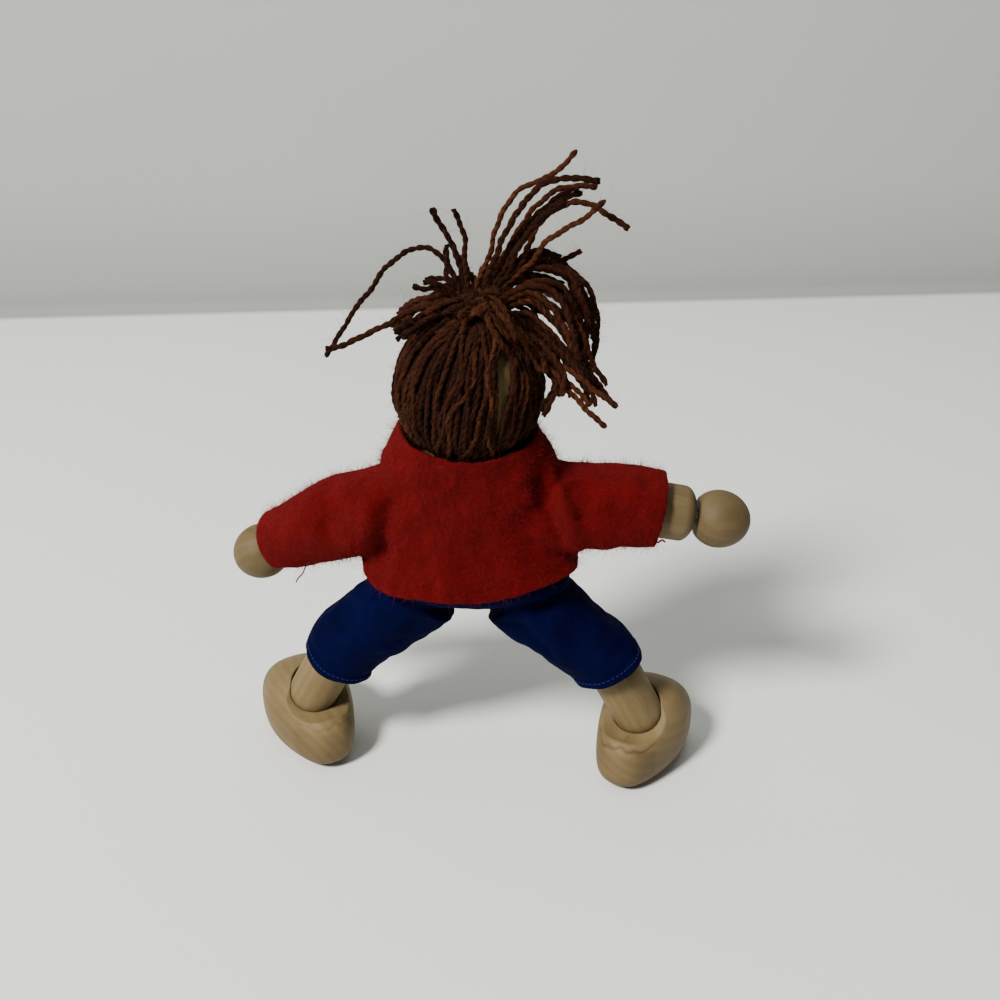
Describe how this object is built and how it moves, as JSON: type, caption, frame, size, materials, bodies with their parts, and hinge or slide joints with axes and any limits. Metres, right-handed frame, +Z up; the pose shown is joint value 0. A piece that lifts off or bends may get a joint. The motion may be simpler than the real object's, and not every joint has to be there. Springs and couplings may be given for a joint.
{
  "type": "bendy doll",
  "caption": "Posable doll of turned wooden beads on bending wires, with a ball head, gathered yarn hair, a felt sweater, cotton trousers and clog-shaped feet.",
  "frame": {"origin": "on the floor under the middle of the doll's box", "axes": "+Z up, +Y the way the doll faces, +X the doll's right"},
  "size_m": [0.101, 0.0366, 0.1262],
  "materials": {
    "wood": "bare, sanded",
    "steel_wire": "dull wire",
    "brown_yarn": "twisted yarn",
    "red_felt": "fuzzy felt",
    "blue_cotton": "plain weave"
  },
  "bodies": {
    "torso": {"torso_block": "wood", "neck_dowel": "wood", "sweater_body": "red_felt", "trousers_seat": "blue_cotton"},
    "head": {"head_ball": "wood", "hair_cap": "brown_yarn", "hair_tie": "brown_yarn", "hair_tuft": "brown_yarn"},
    "arm_link_right": {"arm_wire_right": "steel_wire"},
    "upper_arm_right": {"upper_arm_right": "wood", "sleeve_right": "red_felt"},
    "forearm_right": {"forearm_right": "wood"},
    "hand_right": {"hand_right": "wood"},
    "leg_link_right": {"leg_wire_right": "steel_wire"},
    "thigh_right": {"thigh_right": "wood", "trouser_leg_right": "blue_cotton"},
    "shin_right": {"shin_right": "wood"},
    "shoe_right": {"shoe_right": "wood"},
    "arm_link_left": {"arm_wire_left": "steel_wire"},
    "upper_arm_left": {"upper_arm_left": "wood", "sleeve_left": "red_felt"},
    "forearm_left": {"forearm_left": "wood"},
    "hand_left": {"hand_left": "wood"},
    "leg_link_left": {"leg_wire_left": "steel_wire"},
    "thigh_left": {"thigh_left": "wood", "trouser_leg_left": "blue_cotton"},
    "shin_left": {"shin_left": "wood"},
    "shoe_left": {"shoe_left": "wood"}
  },
  "joints": [
    {"name": "head_turn", "type": "hinge", "parent": "torso", "child": "head", "pos_m": [-0.00256, -0.00332, 0.0853], "axis": [0, 0, 1], "range_deg": [-80, 80]},
    {"name": "shoulder_lift_right", "type": "hinge", "parent": "torso", "child": "arm_link_right", "pos_m": [0.01293, -0.00379, 0.0608], "axis": [-0.0297, -0.9996, 0], "range_deg": [-45, 45], "deforming": ["arm_wire_right", "sleeve_right", "sweater_body", "hair_tuft"]},
    {"name": "shoulder_swing_right", "type": "hinge", "parent": "arm_link_right", "child": "upper_arm_right", "pos_m": [0.01293, -0.00379, 0.0608], "axis": [-0.0871, 0.0026, 0.9962], "range_deg": [-30, 30], "deforming": ["arm_wire_right", "sleeve_right", "sweater_body", "hair_tuft"]},
    {"name": "elbow_bend_right", "type": "hinge", "parent": "upper_arm_right", "child": "forearm_right", "pos_m": [0.02612, -0.00418, 0.06196], "axis": [0.1564, -0.0046, 0.9877], "range_deg": [-50, 50], "deforming": ["arm_wire_right", "sleeve_right"]},
    {"name": "wrist_bend_right", "type": "hinge", "parent": "forearm_right", "child": "hand_right", "pos_m": [0.04009, -0.00459, 0.05974], "axis": [0.1564, -0.0046, 0.9877], "range_deg": [-15, 15], "deforming": ["arm_wire_right"]},
    {"name": "hip_swing_right", "type": "hinge", "parent": "torso", "child": "leg_link_right", "pos_m": [0.00643, -0.00359, 0.041], "axis": [0.9996, -0.0297, 0], "range_deg": [-35, 75], "deforming": ["leg_wire_right", "trouser_leg_right", "trousers_seat", "sweater_body"]},
    {"name": "hip_spread_right", "type": "hinge", "parent": "leg_link_right", "child": "thigh_right", "pos_m": [0.00643, -0.00359, 0.041], "axis": [-0.0297, -0.9996, 0], "range_deg": [-30, 15], "deforming": ["leg_wire_right", "trouser_leg_right", "trousers_seat", "sweater_body"]},
    {"name": "knee_bend_right", "type": "hinge", "parent": "thigh_right", "child": "shin_right", "pos_m": [0.02437, -0.00451, 0.02786], "axis": [-0.8919, 0.0344, -0.451], "range_deg": [-30, 60], "deforming": ["leg_wire_right", "trouser_leg_right"]},
    {"name": "ankle_bend_right", "type": "hinge", "parent": "shin_right", "child": "shoe_right", "pos_m": [0.03137, -0.00469, 0.014], "axis": [0.8746, -0.4848, 0], "range_deg": [-20, 25], "deforming": ["leg_wire_right"]},
    {"name": "shoulder_lift_left", "type": "hinge", "parent": "torso", "child": "arm_link_left", "pos_m": [-0.01806, -0.00286, 0.0608], "axis": [0.0297, 0.9996, 0], "range_deg": [-25, 70], "deforming": ["arm_wire_left", "sleeve_left", "sweater_body", "hair_tuft"]},
    {"name": "shoulder_swing_left", "type": "hinge", "parent": "arm_link_left", "child": "upper_arm_left", "pos_m": [-0.01806, -0.00286, 0.0608], "axis": [0.3582, -0.0106, -0.9336], "range_deg": [-38, 28], "deforming": ["arm_wire_left", "sleeve_left", "sweater_body", "hair_tuft"]},
    {"name": "elbow_bend_left", "type": "hinge", "parent": "upper_arm_left", "child": "forearm_left", "pos_m": [-0.03025, -0.00066, 0.0561], "axis": [0.556, -0.0478, -0.8298], "range_deg": [-55, 45], "deforming": ["arm_wire_left", "sleeve_left"]},
    {"name": "wrist_bend_left", "type": "hinge", "parent": "forearm_left", "child": "hand_left", "pos_m": [-0.04122, 0.00399, 0.04847], "axis": [0.556, -0.0478, -0.8298], "range_deg": [-15, 15], "deforming": ["arm_wire_left"]},
    {"name": "hip_swing_left", "type": "hinge", "parent": "torso", "child": "leg_link_left", "pos_m": [-0.01156, -0.00306, 0.041], "axis": [0.9996, -0.0297, 0], "range_deg": [-35, 75], "deforming": ["leg_wire_left", "trouser_leg_left", "trousers_seat", "sweater_body"]},
    {"name": "hip_spread_left", "type": "hinge", "parent": "leg_link_left", "child": "thigh_left", "pos_m": [-0.01156, -0.00306, 0.041], "axis": [0.0297, 0.9996, 0], "range_deg": [-30, 15], "deforming": ["leg_wire_left", "trouser_leg_left", "trousers_seat", "sweater_body"]},
    {"name": "knee_bend_left", "type": "hinge", "parent": "thigh_left", "child": "shin_left", "pos_m": [-0.02913, 0.00018, 0.02774], "axis": [-0.8856, 0.0797, 0.4576], "range_deg": [-30, 60], "deforming": ["leg_wire_left", "trouser_leg_left"]},
    {"name": "ankle_bend_left", "type": "hinge", "parent": "shin_left", "child": "shoe_left", "pos_m": [-0.03604, 0.00235, 0.014], "axis": [0.8746, 0.4848, 0], "range_deg": [-20, 25], "deforming": ["leg_wire_left"]}
  ]
}
